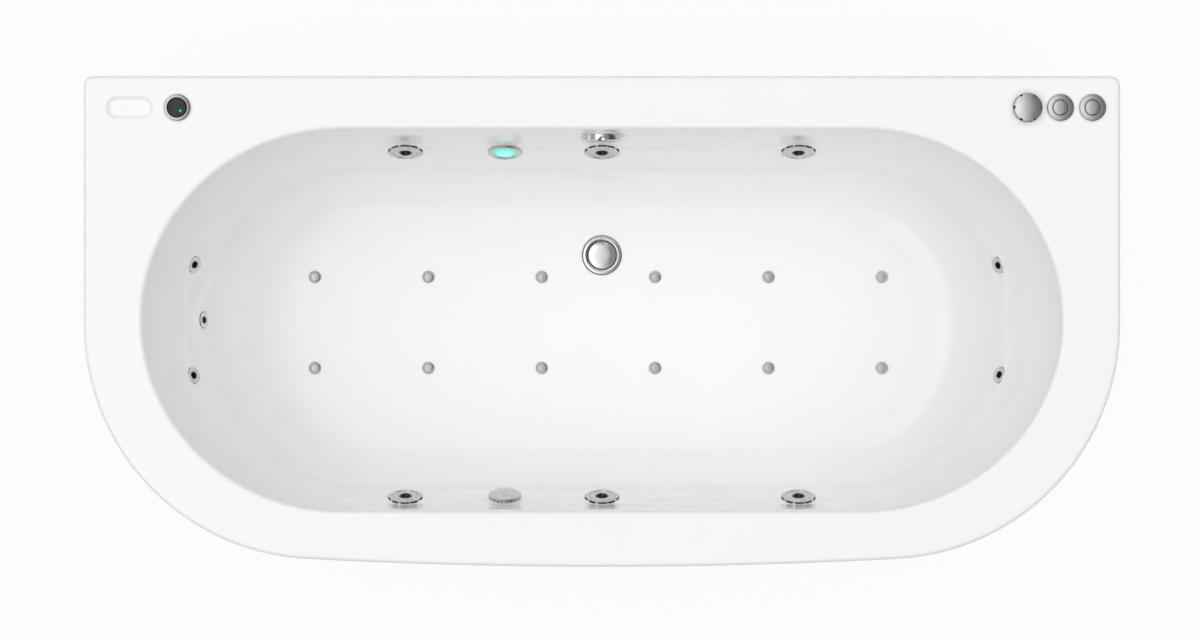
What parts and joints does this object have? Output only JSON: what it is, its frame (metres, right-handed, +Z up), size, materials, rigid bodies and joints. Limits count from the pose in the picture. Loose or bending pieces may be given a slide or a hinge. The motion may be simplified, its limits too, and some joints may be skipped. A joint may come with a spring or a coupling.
{
  "type": "jetted bathtub",
  "caption": "D-shaped back-to-wall jetted bath: moulded shell on a framed base, swivelling jets, floor air jets, pump, blower, pop-up waste and deck controls.",
  "frame": {"origin": "on the floor under the middle of the rim", "axes": "+X along the bath towards the foot end, +Y towards the wall behind it, +Z up"},
  "size_m": [1.7, 0.8048, 0.594],
  "materials": {
    "acrylic_white": "high gloss white acrylic",
    "chrome": "polished chrome",
    "satin_metal": "satin chrome",
    "nozzle_black": "black moulded plastic",
    "lens_turquoise": "turquoise lens",
    "led_turquoise": "turquoise pilot light",
    "rubber_black": "black rubber",
    "pvc_white": "white PVC",
    "steel_zinc": "zinc plated steel",
    "board": "resin bonded chipboard",
    "motor_paint": "dark grey paint",
    "black_plastic": "black moulded plastic"
  },
  "bodies": {
    "tub": {"bath_shell": "acrylic_white", "base_board": "board", "support_frame": "steel_zinc", "foot_studs": "steel_zinc", "foot_pads": "rubber_black", "front_panel": "acrylic_white", "fixing_brackets": "steel_zinc", "jet_bodies": "pvc_white", "fitting_nuts": "pvc_white", "fitting_gaskets": "rubber_black", "small_jet_rings": "chrome", "air_jet_caps": "satin_metal", "air_jet_bodies": "pvc_white", "light_bezel": "chrome", "light_lens": "lens_turquoise", "light_housing": "pvc_white", "suction_cover": "chrome", "suction_body": "pvc_white", "waste_flange": "chrome", "waste_trap": "pvc_white", "overflow_body": "pvc_white", "overflow_pipe": "pvc_white", "plug_cable": "black_plastic", "pump_volute": "black_plastic", "pump_motor": "motor_paint", "pump_base": "black_plastic", "suction_pipe": "pvc_white", "pressure_pipes": "pvc_white", "air_pipes": "pvc_white", "blower_housing": "black_plastic", "air_manifold": "pvc_white", "control_box": "black_plastic", "control_lines": "black_plastic", "deck_bezels": "satin_metal", "deck_control_bodies": "pvc_white"},
    "jet_ring_back_left": {"jet_ring_back_left": "chrome"},
    "jet_nozzle_back_left": {"jet_nozzle_back_left": "nozzle_black"},
    "jet_ring_back_middle": {"jet_ring_back_middle": "chrome"},
    "jet_nozzle_back_middle": {"jet_nozzle_back_middle": "nozzle_black"},
    "jet_ring_back_right": {"jet_ring_back_right": "chrome"},
    "jet_nozzle_back_right": {"jet_nozzle_back_right": "nozzle_black"},
    "jet_ring_front_left": {"jet_ring_front_left": "chrome"},
    "jet_nozzle_front_left": {"jet_nozzle_front_left": "nozzle_black"},
    "jet_ring_front_middle": {"jet_ring_front_middle": "chrome"},
    "jet_nozzle_front_middle": {"jet_nozzle_front_middle": "nozzle_black"},
    "jet_ring_front_right": {"jet_ring_front_right": "chrome"},
    "jet_nozzle_front_right": {"jet_nozzle_front_right": "nozzle_black"},
    "jet_nozzle_backrest_back": {"jet_nozzle_backrest_back": "nozzle_black"},
    "jet_nozzle_backrest_front": {"jet_nozzle_backrest_front": "nozzle_black"},
    "jet_nozzle_lumbar": {"jet_nozzle_lumbar": "nozzle_black"},
    "jet_nozzle_foot_back": {"jet_nozzle_foot_back": "nozzle_black"},
    "jet_nozzle_foot_front": {"jet_nozzle_foot_front": "nozzle_black"},
    "overflow_knob": {"overflow_knob": "chrome"},
    "waste_plug": {"waste_plug": "chrome"},
    "air_control_knob": {"air_control_knob": "satin_metal"},
    "massage_button": {"massage_button": "satin_metal"},
    "airspa_button": {"airspa_button": "satin_metal"},
    "light_button": {"light_button": "nozzle_black", "light_button_led": "led_turquoise"},
    "pump_rotor": {"pump_rotor": "black_plastic"}
  },
  "joints": [
    {"name": "jet_ring_back_left_turn", "type": "hinge", "parent": "tub", "child": "jet_ring_back_left", "pos_m": [-0.332, 0.28849, 0.39264], "axis": [0, -0.9336, 0.3584], "range_deg": [-90, 90]},
    {"name": "jet_nozzle_back_left_tilt", "type": "hinge", "parent": "jet_ring_back_left", "child": "jet_nozzle_back_left", "pos_m": [-0.332, 0.29269, 0.39103], "axis": [-1, 0, 0], "range_deg": [-12, 12]},
    {"name": "jet_ring_back_middle_turn", "type": "hinge", "parent": "tub", "child": "jet_ring_back_middle", "pos_m": [0, 0.28849, 0.39264], "axis": [0, -0.9336, 0.3584], "range_deg": [-90, 90]},
    {"name": "jet_nozzle_back_middle_tilt", "type": "hinge", "parent": "jet_ring_back_middle", "child": "jet_nozzle_back_middle", "pos_m": [0, 0.29269, 0.39103], "axis": [-1, 0, 0], "range_deg": [-12, 12]},
    {"name": "jet_ring_back_right_turn", "type": "hinge", "parent": "tub", "child": "jet_ring_back_right", "pos_m": [0.332, 0.28849, 0.39264], "axis": [0, -0.9336, 0.3584], "range_deg": [-90, 90]},
    {"name": "jet_nozzle_back_right_tilt", "type": "hinge", "parent": "jet_ring_back_right", "child": "jet_nozzle_back_right", "pos_m": [0.332, 0.29269, 0.39103], "axis": [-1, 0, 0], "range_deg": [-12, 12]},
    {"name": "jet_ring_front_left_turn", "type": "hinge", "parent": "tub", "child": "jet_ring_front_left", "pos_m": [-0.332, -0.29836, 0.39264], "axis": [0, 0.9336, 0.3584], "range_deg": [-90, 90]},
    {"name": "jet_nozzle_front_left_tilt", "type": "hinge", "parent": "jet_ring_front_left", "child": "jet_nozzle_front_left", "pos_m": [-0.332, -0.30256, 0.39103], "axis": [1, 0, 0], "range_deg": [-12, 12]},
    {"name": "jet_ring_front_middle_turn", "type": "hinge", "parent": "tub", "child": "jet_ring_front_middle", "pos_m": [0, -0.29836, 0.39264], "axis": [0, 0.9336, 0.3584], "range_deg": [-90, 90]},
    {"name": "jet_nozzle_front_middle_tilt", "type": "hinge", "parent": "jet_ring_front_middle", "child": "jet_nozzle_front_middle", "pos_m": [0, -0.30256, 0.39103], "axis": [1, 0, 0], "range_deg": [-12, 12]},
    {"name": "jet_ring_front_right_turn", "type": "hinge", "parent": "tub", "child": "jet_ring_front_right", "pos_m": [0.332, -0.29836, 0.39264], "axis": [0, 0.9336, 0.3584], "range_deg": [-90, 90]},
    {"name": "jet_nozzle_front_right_tilt", "type": "hinge", "parent": "jet_ring_front_right", "child": "jet_nozzle_front_right", "pos_m": [0.332, -0.30256, 0.39103], "axis": [1, 0, 0], "range_deg": [-12, 12]},
    {"name": "jet_nozzle_backrest_back_tilt", "type": "hinge", "parent": "tub", "child": "jet_nozzle_backrest_back", "pos_m": [-0.69161, 0.097, 0.38871], "axis": [-0.3254, -0.9456, 0], "range_deg": [-10, 10]},
    {"name": "jet_nozzle_backrest_front_tilt", "type": "hinge", "parent": "tub", "child": "jet_nozzle_backrest_front", "pos_m": [-0.69321, -0.09195, 0.38871], "axis": [0.2947, -0.9556, 0], "range_deg": [-10, 10]},
    {"name": "jet_nozzle_lumbar_tilt", "type": "hinge", "parent": "tub", "child": "jet_nozzle_lumbar", "pos_m": [-0.6857, 0.0025, 0.30417], "axis": [0, -1, 0], "range_deg": [-10, 10]},
    {"name": "jet_nozzle_foot_back_tilt", "type": "hinge", "parent": "tub", "child": "jet_nozzle_foot_back", "pos_m": [0.68011, 0.09702, 0.31871], "axis": [-0.3372, 0.9414, 0], "range_deg": [-10, 10]},
    {"name": "jet_nozzle_foot_front_tilt", "type": "hinge", "parent": "tub", "child": "jet_nozzle_foot_front", "pos_m": [0.6824, -0.09195, 0.31871], "axis": [0.2934, 0.956, 0], "range_deg": [-10, 10]},
    {"name": "overflow_knob_turn", "type": "hinge", "parent": "tub", "child": "overflow_knob", "pos_m": [0, 0.30973, 0.518], "axis": [0, -1, 0], "range_deg": [0, 100]},
    {"name": "waste_plug_lift", "type": "slide", "parent": "tub", "child": "waste_plug", "axis": [0, 0, 1], "range_m": [0, 0.012]},
    {"name": "air_control_turn", "type": "hinge", "parent": "tub", "child": "air_control_knob", "pos_m": [0.6974, 0.3505, 0.58], "axis": [0, 0, 1], "range_deg": [0, 180]},
    {"name": "massage_button_press", "type": "slide", "parent": "tub", "child": "massage_button", "axis": [0, 0, -1], "range_m": [0, 0.004], "stiffness_N_per_m": 800, "springref_m": -0.001},
    {"name": "airspa_button_press", "type": "slide", "parent": "tub", "child": "airspa_button", "axis": [0, 0, -1], "range_m": [0, 0.004], "stiffness_N_per_m": 800, "springref_m": -0.001},
    {"name": "light_button_press", "type": "slide", "parent": "tub", "child": "light_button", "axis": [0, 0, -1], "range_m": [0, 0.002], "stiffness_N_per_m": 800, "springref_m": -0.001},
    {"name": "pump_rotor_spin", "type": "hinge", "parent": "tub", "child": "pump_rotor", "pos_m": [-0.74, -0.11, 0.1], "axis": [0, 1, 0], "continuous": true}
  ],
  "couplings": [
    {"joint": "waste_plug_lift", "follows": "overflow_knob_turn", "m_per_rad": 0.0068755}
  ]
}
